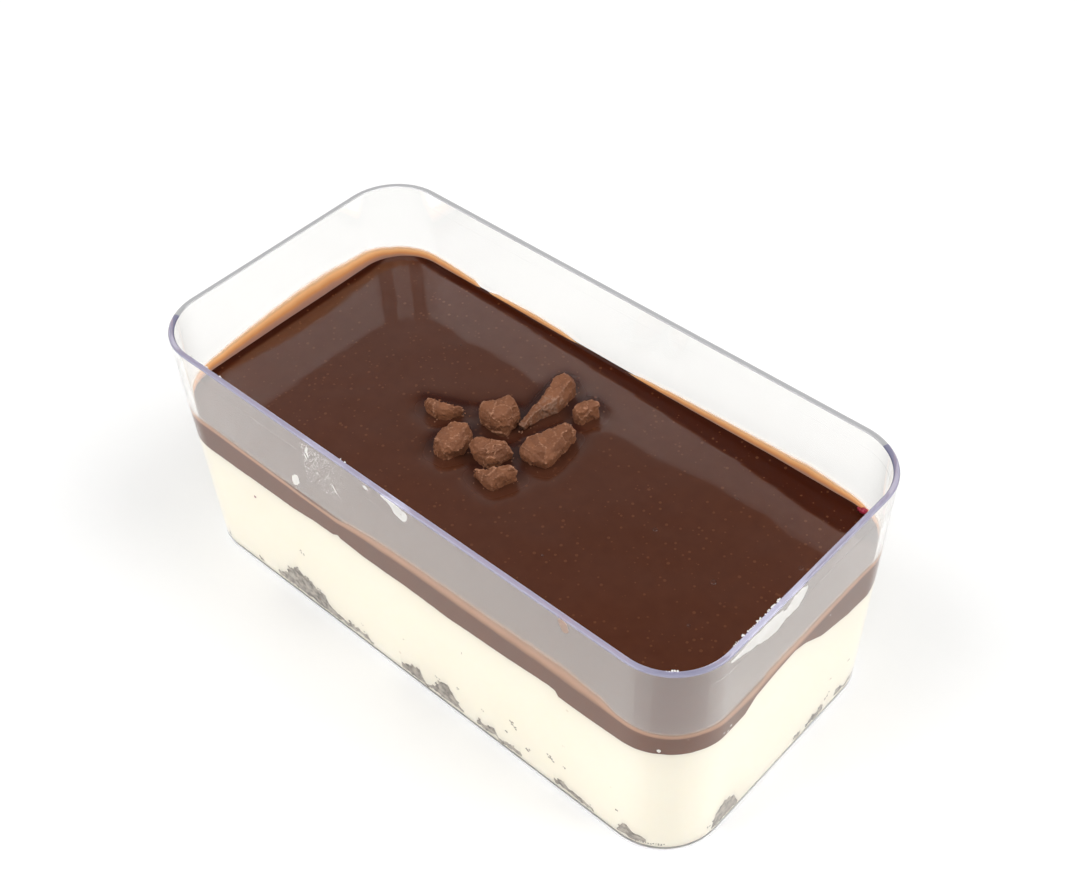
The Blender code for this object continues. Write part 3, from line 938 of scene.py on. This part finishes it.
def makeGanache():
    inset = boxSizes["wall"] - layers["reach"]
    count = len(fineStations)
    topEdge = layers["surface"] + layers["climb"]
    rings = [
        wallRing(fineStations, layers["creamTop"] - 1.0 * mm, inset + 8 * mm),
        wallRing(fineStations, creamEdge - 0.3 * mm, inset + 0.3 * mm)]
    for row in range(5):
        rings.append(wallRing(fineStations, creamEdge + (topEdge - creamEdge) * row / 4, inset))
    sideBands = len(rings) - 1
    outer = wallRing(fineStations, layers["surface"], boxSizes["wall"])
    halfY = boxSizes["halfY"] - boxSizes["wall"]
    middleX = np.clip(outer[:, 0], -(boxSizes["halfX"] - halfY), boxSizes["halfX"] - halfY)
    middle = np.stack([middleX, np.zeros(count), outer[:, 2]], axis=1)
    reach = np.linalg.norm(middle - outer, axis=1)
    near = ganache["wallRings"]
    far = np.linspace(*ganache["evenRings"], ganache["rings"] - len(near))
    for depth in (*near, *far):
        share = np.clip(depth * mm / reach, 0, 1) if depth < far[-1] else np.ones(count)
        ring = outer + (middle - outer) * share[:, None]
        ring[:, 2] = ganacheHeight(ring, np.full(count, depth * mm))
        rings.append(ring)
    dull = [inStrip(ring) > 0.5 for ring in rings]

    def slotAt(band, i):
        return 1 if band < sideBands else 2 if dull[band][i] else 0

    finishes = [
        ganacheMaterial("glossyGanache", ganache["gloss"]), ganacheSideMaterial(),
        ganacheMaterial("dullGanache", ganache["dullGloss"])]
    piece = meshFromRings("ganache", rings, finishes, slotAt, capLast=False)
    turnOutwards(piece.data, merge=0.002 * mm)  # the last ring closes on the middle line
    places = np.array([v.co for v in piece.data.vertices])
    # painted shade beside the far walls and behind the chocolate pieces
    paintPoints(piece, "hollow", paintedGanacheShade(places))
    paintPoints(piece, "clouded", nearChunks(places[:, :2], ganache["dustWidth"]))
    settle(piece, "ganache", "ganache_layer")
    return piece


def makeBubbles(finish):
    # low domes with a sunken middle, where air came up through the ganache
    draw = random.Random(5)
    points, faces = [], []
    rows, around = ((1.05, -0.05), (0.92, 0.02), (0.75, 0.07), (0.55, 0.05), (0.35, -0.01)), 18
    for x, y, size in ganache["bubbles"]:
        middle = np.array([[x * mm, y * mm, 0.0]])
        z = float(ganacheHeight(middle, np.array([1.0]))[0])
        radius = size / 2 * mm
        start = len(points)
        for out, up in rows:                    # share of the radius, and mm above the ganache
            for k in range(around):
                turn = 2 * math.pi * k / around
                far = radius * out * draw.uniform(0.97, 1.03)
                points.append((x * mm + far * math.cos(turn), y * mm + far * math.sin(turn), z + up * mm))
        for row in range(len(rows) - 1):
            for k in range(around):
                a, b = start + row * around, start + (row + 1) * around
                nextK = (k + 1) % around
                faces.append((a + k, a + nextK, b + nextK, b + k))
        faces.append(tuple(start + (len(rows) - 1) * around + k for k in range(around)))
        faces.append(tuple(start + k for k in range(around))[::-1])
    bubbles = addMesh("bubbles", points, faces, [finish], smooth=60)
    # a little painted shade on the bubbles as well
    paintPoints(bubbles, "hollow", np.full(len(points), 0.2))
    paintPoints(bubbles, "clouded", np.zeros(len(points)))
    settle(bubbles, "ganache")


ganachePiece = makeGanache()
makeBubbles(ganachePiece.data.materials[0])
print("ganache made")


# chocolate film left on the wall above the ganache

film = {
    "tint": (                  # from the ganache up to the thin top, on the near walls
        (0.00, (0.16, 0.055, 0.020)), (0.08, (0.27, 0.120, 0.060)), (0.24, (0.42, 0.225, 0.130)),
        (0.60, (0.47, 0.275, 0.175)), (1.00, (0.58, 0.400, 0.300))),
    "farTint": (               # painted backlight: the same, lighter, where light comes through it from behind
        (0.00, (0.20, 0.075, 0.045)), (0.12, (0.34, 0.190, 0.150)), (0.27, (0.42, 0.215, 0.150)),
        (0.42, (0.68, 0.290, 0.105)), (0.60, (0.92, 0.500, 0.220)), (1.00, (1.00, 0.760, 0.540))),
    "speck": (0.24, 0.10, 0.05),
    "stir": 0.09,              # how much the tint wanders
    # share of the height where it starts to fade, how much later on the far walls, and where it is gone
    "fade": (0.34, 0.28, 0.94),
    "rows": 12,
    "thickness": 0.30 * mm,
}


def filmMaterial():
    material, tree, shader = startMaterial("thinChocolate", 0.35, specular=0.2)
    stir, behind = film["stir"], pointValue(tree, "behind")
    cloud = mathNode(tree, "MULTIPLY", grainMask(tree, 300.0, 1.4), stir)
    stirred = mathNode(tree, "ADD", pointValue(tree, "thin"), cloud)
    eased = mathNode(tree, "SUBTRACT", stirred, stir / 2, clamp=True)
    # the far walls get a lighter tint, painted backlight for light shining through the film from behind
    tint, farTint = rampColours(tree, eased, film["tint"]), rampColours(tree, eased, film["farTint"])
    dotted = sprinkle(tree, mixColours(tree, behind, tint, farTint), film["speck"], 0.6, 900.0, 0.16, 0.12)
    tree.links.new(dotted, shader.inputs["Base Color"])
    start, farDelay, end = film["fade"]
    fade = tree.nodes.new("ShaderNodeMapRange")
    fade.interpolation_type = "SMOOTHSTEP"
    tree.links.new(eased, fade.inputs["Value"])
    for label, value in (("From Max", end), ("To Min", 1.0), ("To Max", 0.0)):
        fade.inputs[label].default_value = value
    later = mathNode(tree, "MULTIPLY", behind, farDelay)
    tree.links.new(mathNode(tree, "ADD", start, later), fade.inputs["From Min"])
    tree.links.new(fade.outputs[0], shader.inputs["Alpha"])
    return material


def makeFilm():
    wall = boxSizes["wall"]
    rows = film["rows"]
    outside, inside, thin = [], [], []
    for row in range(rows + 1):
        share = row / rows
        z = filmFoot + (filmTop - filmFoot) * share
        body = film["thickness"] * (1 - share) ** 1.3 + 0.03 * mm
        outside.append(wallRing(fineStations, z, wall - layers["reach"] - 0.03 * mm))
        inside.append(wallRing(fineStations, z, wall + body))
        thin.append(np.full(len(fineStations), share))
    piece = meshFromRings("film", outside + inside[::-1], [filmMaterial()], closed=True)
    paintPoints(piece, "thin", np.concatenate(thin + thin[::-1]))
    # 1 on the two far sides, where the tint is painted lighter as if lit from behind and the fade starts
    # later
    behind = smoothStep(-0.2, 0.3, fineStations[:, 3] - fineStations[:, 2])
    paintPoints(piece, "behind", np.tile(behind, 2 * (rows + 1)))
    settle(piece, "ganache")


makeFilm()
print("film made")


# broken chocolate

chunks = {
    "dark": (0.122, 0.045, 0.0210),
    "mid": (0.218, 0.086, 0.0400),
    "pale": (0.46, 0.240, 0.1450),
    "frost": (0.28, 0.170, 0.1200),
    "speck": (0.34, 0.19, 0.11),
    "voxel": 0.2 * mm,
    "sink": 0.9 * mm,
    "chip": 2.5 * mm,          # sizes of the chips, slabs and grit in the broken faces
    "slab": 3.0 * mm,
    "grit": 0.5 * mm,
    "chipHeight": 0.30,        # mm, and less on the two thin pieces
    "thinChipHeight": 0.16,
    "thin": ("stickChunk", "flakeChunk"),
    "gritHeight": 0.12,
    "edgeStand": (0.016, 0.065),        # mm that a point stands out of its neighbours where edges turn pale
    "frostSide": Vector((0.62, -0.70, 0.35)),   # the broken side of the long splinter
    "dust": 90,
}


def chunkMaterial():
    material, tree, shader = startMaterial("brokenChocolate", 0.6, specular=0.25)
    toned = mathNode(tree, "ADD", grainMask(tree, 380.0, 2.0), pointValue(tree, "tone"))
    base = mixColours(tree, mathNode(tree, "MULTIPLY", toned, 0.5), chunks["dark"], chunks["mid"])
    dust = grainMask(tree, 1500.0, 2.0)
    # paler where a point stands out of its neighbours, broken up by fine grit
    paleEdgeMask = mathNode(tree, "MULTIPLY", pointValue(tree, "edge"), dust, clamp=True)
    withPaleEdges = mixColours(tree, paleEdgeMask, base, chunks["pale"])
    dotted = sprinkle(tree, withPaleEdges, chunks["speck"], 0.4, 900.0, 0.2, 0.08)
    frosty = mathNode(tree, "MULTIPLY", pointValue(tree, "frost"), dust, clamp=True)
    tree.links.new(mixColours(tree, frosty, dotted, chunks["frost"]), shader.inputs["Base Color"])
    addBump(tree, shader, dust, 0.9, 0.16 * mm)
    return material


def makeChunk(name, material, number):
    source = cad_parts[name]
    mesh = source.data.copy()
    lowest = min(v.co.z for v in mesh.vertices)
    for vertex in mesh.vertices:                # the foot goes down into the ganache
        if vertex.co.z < lowest + 0.25 * mm:
            vertex.co.z -= chunks["sink"]
    label = name.replace("chocolate_", "") + "Chunk"
    piece = bpy.data.objects.new(label, mesh)
    bpy.context.scene.collection.objects.link(piece)
    remesh = piece.modifiers.new("remesh", "REMESH")
    remesh.mode = "VOXEL"
    remesh.voxel_size = chunks["voxel"]
    soften = piece.modifiers.new("soften", "SMOOTH")
    soften.iterations = 1
    shaped = bpy.data.meshes.new_from_object(piece.evaluated_get(bpy.context.evaluated_depsgraph_get()))
    piece.modifiers.clear()
    piece.data = shaped
    work = bmesh.new()
    work.from_mesh(shaped)
    work.normal_update()
    shift = Vector((number * 3.1, number * 7.7, number * 1.3))
    high = chunks["thinChipHeight"] if label in chunks["thin"] else chunks["chipHeight"]
    moves, tone = [], []
    for vertex in work.verts:                   # flat chips tilted each their own way, then fine grit
        p = vertex.co / chunks["chip"] + shift
        wander = noise.noise_vector(p * 1.7) * 0.25
        cell = noise.voronoi(p + wander)[1][0]
        tilt = noise.noise_vector(cell * 5.3).normalized()
        chip = (p + wander - cell).dot(tilt)
        slab = noise.noise(vertex.co / chunks["slab"] + shift)
        grit = noise.noise(vertex.co / chunks["grit"] + shift)
        moves.append(vertex.normal * (high * (slab + chip) + chunks["gritHeight"] * grit) * mm)
        tone.append(0.5 + 0.9 * noise.noise(cell * 3.1))
    for vertex, move in zip(work.verts, moves):
        vertex.co += move
    work.normal_update()
    edge, frost = [], []
    for vertex in work.verts:                   # pale on edges, and frost on one side of the splinter
        ring = [e.other_vert(vertex).co for e in vertex.link_edges]
        middle = sum(ring, Vector()) / len(ring)
        stand = (vertex.co - middle).dot(vertex.normal) / mm
        edge.append(float(smoothStep(*chunks["edgeStand"], stand)))
        facing = vertex.normal.dot(chunks["frostSide"])
        frost.append(float(smoothStep(0.62, 0.9, facing)) if label == "stickChunk" else 0.0)
    work.to_mesh(shaped)
    work.free()
    shaped.materials.clear()
    shaped.materials.append(material)
    shaped.shade_smooth()
    shaped.set_sharp_from_angle(angle=math.radians(38))
    paintPoints(piece, "edge", edge)
    paintPoints(piece, "frost", frost)
    paintPoints(piece, "tone", np.clip(tone, 0, 1))
    settle(piece, "milk_chocolate", name)


def makeChocolateDust(material):
    # fine grit that fell off the pieces, thickest along the splinter's left side
    draw = random.Random(21)
    points, faces = [], []
    for number in range(chunks["dust"]):
        name = "chocolate_stick" if number % 2 else draw.choice(chunkNames)
        outline = chunkOutlines[name]
        k = draw.randrange(len(outline))
        share = draw.random()
        spot = outline[k] * (1 - share) + outline[(k + 1) % len(outline)] * share
        middle = outline.mean(axis=0)
        out = (spot - middle) / np.linalg.norm(spot - middle)
        if number % 2 and out[0] > 0.35:
            continue
        spot = spot + out * abs(draw.gauss(0, 0.5)) * mm
        size = draw.uniform(0.12, 0.30) * mm
        z = float(ganacheHeight(np.array([[*spot, 0.0]]), np.array([1.0]))[0])
        lumpAt(points, faces, (*spot, z + size * 0.15), size, draw)
    dust = addMesh("chocolateDust", points, faces, [material], smooth=60)
    paintPoints(dust, "edge", np.full(len(points), 0.7))
    paintPoints(dust, "frost", np.full(len(points), 0.6))
    paintPoints(dust, "tone", np.full(len(points), 0.6))
    settle(dust, "milk_chocolate")


chunkFinish = chunkMaterial()
for number, name in enumerate(chunkNames):
    makeChunk(name, chunkFinish, number)
makeChocolateDust(chunkFinish)
print("chocolate pieces made", len(chunkNames))


# smears and bits on the wall and rim

smears = {
    "colour": (0.78, 0.77, 0.74),
    "warm": (0.70, 0.68, 0.64),
    "thickness": 0.30 * mm,
    "trails": (                # side, then along, height and half width in mm
        ("front", ((-0.8, 52.0, 0.2), (0.7, 51.8, 0.45), (1.9, 51.4, 0.85), (3.0, 50.7, 1.45),
                   (3.9, 50.4, 1.45), (4.7, 50.9, 0.9), (5.2, 51.2, 0.2))),
        ("front", ((-5.2, 51.2, 0.15), (-4.7, 51.1, 0.45), (-4.1, 51.0, 0.2))),
        ("front", ((-25.5, 37.2, 0.2), (-25.2, 38.0, 0.75), (-24.7, 39.1, 1.0), (-24.3, 40.3, 0.35))),
        ("front", ((-25.3, 36.2, 0.15), (-25.7, 34.9, 0.55), (-26.1, 33.4, 0.40), (-26.5, 32.0, 0.1))),
        ("front", ((-19.1, 51.2, 0.12), (-19.6, 49.8, 0.35), (-19.4, 48.4, 0.15))),
        ("front", ((-20.4, 48.9, 0.10), (-20.2, 48.2, 0.22), (-19.9, 47.6, 0.1))),
        ("front", ((-13.9, 45.3, 0.10), (-13.5, 44.4, 0.20), (-13.0, 43.4, 0.1))),
        ("right", ((-0.9, 50.6, 0.3), (-2.2, 50.2, 1.7), (-3.7, 49.6, 2.2), (-5.1, 49.0, 1.8),
                   (-6.6, 48.8, 0.9))),
        ("right", ((-6.0, 48.8, 0.9), (-7.6, 48.8, 2.0), (-9.8, 49.2, 2.4), (-12.4, 49.8, 2.0),
                   (-15.2, 50.3, 1.4), (-18.4, 50.5, 0.6), (-20.5, 50.9, 0.2))),
    ),
    "drip": ("front", ((38.6, 51.8, 0.5), (39.4, 51.2, 0.95), (39.7, 50.2, 0.85), (39.4, 49.3, 0.3))),
    "dripColour": (0.40, 0.25, 0.18),
    "dripDark": 0.8,
    "haze": {"along": (-21.0, -8.5), "height": (41.5, 51.6), "drops": 620, "sizes": (0.08, 0.19)},
    "rimBits": (               # side, along and size in mm
        ("right", -7.3, 0.6), ("right", -8.5, 0.8), ("right", -9.6, 0.5), ("right", -10.6, 0.7),
        ("right", -12.1, 0.8), ("right", -13.2, 0.5), ("right", -14.0, 0.7), ("right", -15.5, 0.7),
        ("right", -16.9, 0.5), ("right", -17.7, 0.5), ("front", 59.3, 0.6), ("front", 60.0, 0.7),
        ("front", 61.0, 0.6), ("front", -9.8, 0.5), ("front", -49.4, 0.7), ("front", -47.6, 0.6),
        ("front", -44.6, 0.5), ("front", -41.2, 0.5)),
    "wallBits": (              # side, along, height and size in mm: white specks in the dark band
        ("right", -17.6, 31.6, 0.55), ("right", -18.1, 30.8, 0.45), ("right", -19.2, 31.4, 0.35),
        ("front", 57.9, 31.9, 0.8), ("right", 8.4, 34.0, 0.3)),
    "berryBits": (             # side, along, height and size in mm
        ("back", 53.4, 35.9, 1.3), ("back", 54.4, 36.2, 1.5), ("back", 55.4, 36.5, 1.1)),
    "berryColours": ((0.15, 0.006, 0.018), (0.32, 0.018, 0.045)),
    "redSpeck": ("front", -39.2, 23.6, 0.9),
}


def smearMaterial(name, colour, second, scale=600.0, strength=0.3, **finish):
    material, tree, shader = startMaterial(name, **finish)
    cloud = grainMask(tree, scale, 2.0)
    tree.links.new(mixColours(tree, cloud, colour, second), shader.inputs["Base Color"])
    addBump(tree, shader, cloud, strength, 0.1 * mm)
    return material


def addTrail(points, faces, side, trail, thickness, seed):
    # a tapering streak that lies on the inner wall: flat against it and domed towards the inside
    fine = []
    for (a0, z0, w0), (a1, z1, w1) in zip(trail, trail[1:]):
        for k in range(6):
            share = k / 6
            fine.append((a0 + (a1 - a0) * share, z0 + (z1 - z0) * share, w0 + (w1 - w0) * share))
    fine.append(trail[-1])
    across = 9
    start = len(points)
    for i, (along, height, half) in enumerate(fine):
        before, after = fine[max(i - 1, 0)], fine[min(i + 1, len(fine) - 1)]
        stepA, stepZ = after[0] - before[0], after[1] - before[1]
        length = math.hypot(stepA, stepZ)
        sideA, sideZ = -stepZ / length, stepA / length
        ragged = 1 + 0.22 * noise.noise(Vector((along * 1.3, height * 1.3, seed)))
        for k in range(across):
            share = -1 + 2 * k / (across - 1)
            a, z = along + sideA * half * share * ragged, height + sideZ * half * share * ragged
            dome = thickness * min(1.0, half * 1.5) * math.sqrt(max(0.0, 1 - share * share))
            points.append(tuple(smearPoint(side, a, z, dome)))
        points.append(tuple(smearPoint(side, along, height, -0.06 * mm)))
    ring = across + 1
    for i in range(len(fine) - 1):
        for k in range(ring):
            nextK = (k + 1) % ring
            a, b = start + i * ring, start + (i + 1) * ring
            faces.append((a + k, a + nextK, b + nextK, b + k))
    faces.append(tuple(start + k for k in range(ring)))
    last = start + (len(fine) - 1) * ring
    faces.append(tuple(last + k for k in range(ring))[::-1])


def smearPoint(side, along, height, lift):
    # a point on one flat inner face of the box, lifted off it towards the inside
    s = boxSizes
    inset = s["wall"] + lift
    share = height * mm / s["height"]
    outX = s["halfX"] - s["lean"] * (1 - share) - inset
    outY = s["halfY"] - s["lean"] * (1 - share) - inset
    if side == "front":
        return Vector((along * mm, -outY, height * mm))
    return Vector((outX, along * mm, height * mm))


def makeSmears():
    points, faces = [], []
    for seed, (side, trail) in enumerate(smears["trails"]):
        addTrail(points, faces, side, trail, smears["thickness"], seed * 3.7)
    draw = random.Random(31)
    for side, along, height, size in smears["wallBits"]:
        place = wallPlace(side, along, height, boxSizes["wall"] - 0.02 * mm)
        lumpAt(points, faces, place, size * 1.3 * mm, draw, (0.9, 0.9, 1.0))
    finish = smearMaterial("creamSmear", smears["colour"], smears["warm"], roughness=0.45, specular=0.3)
    settle(addMesh("creamSmears", points, faces, [finish], smooth=70), "cream")
    points, faces = [], []
    addTrail(points, faces, *smears["drip"], smears["thickness"], 50.0)
    darker = tuple(c * smears["dripDark"] for c in smears["dripColour"])
    tan = smearMaterial("chocolateDrip", smears["dripColour"], darker, roughness=0.45, specular=0.3)
    settle(addMesh("chocolateDrip", points, faces, [tan], smooth=70), "ganache")
    return finish


def makeHaze(finish):
    # fine droplets of cream, thickest at the upper left
    draw = random.Random(41)
    points, faces = [], []
    haze = smears["haze"]
    (left, right), (bottom, top) = haze["along"], haze["height"]
    while len(points) < haze["drops"] * 12:     # each droplet has 12 points
        across, up = draw.random(), draw.random()
        if draw.random() > (1 - across) ** 0.8 * (0.25 + 0.75 * up):
            continue
        size = draw.uniform(*haze["sizes"])
        along, height = left + (right - left) * across, bottom + (top - bottom) * up
        lumpAt(points, faces, smearPoint("front", along, height, 0.0), size * mm, draw, (1, 0.5, 1))
    settle(addMesh("creamDroplets", points, faces, [finish], smooth=70), "cream")


def makeRimBits(finish):
    draw = random.Random(51)
    points, faces = [], []
    for side, along, size in smears["rimBits"]:
        for _ in range(4):
            part = size * draw.uniform(0.35, 0.85)
            place = wallPlace(side, along + draw.gauss(0, 0.35), 53.2, draw.uniform(0.85, 1.2) * mm)
            place.z = boxSizes["height"] - 0.36 * part * mm
            lumpAt(points, faces, place, part * mm, draw, (1, 1, 0.6))
    settle(addMesh("rimCrumbs", points, faces, [finish], smooth=60), "cream")


def makeBerryBits():
    draw = random.Random(61)
    points, faces = [], []
    for side, along, height, size in (*smears["berryBits"], smears["redSpeck"]):
        shift = -0.10 if (side, along) == smears["redSpeck"][:2] else size * 0.3
        for _ in range(3):
            part = size * draw.uniform(0.5, 0.95)
            x, z = along + draw.gauss(0, 0.15) * size, height + draw.gauss(0, 0.15) * size
            place = wallPlace(side, x, z, boxSizes["wall"] + shift * mm)
            lumpAt(points, faces, place, part * mm, draw)
    berry = smearMaterial("driedBerry", *smears["berryColours"], 900.0, 0.5, roughness=0.4, specular=0.4)
    settle(addMesh("berryBits", points, faces, [berry], smooth=60), None)


smearFinish = makeSmears()
makeHaze(smearFinish)
makeRimBits(smearFinish)
makeBerryBits()
print("smears and bits made")
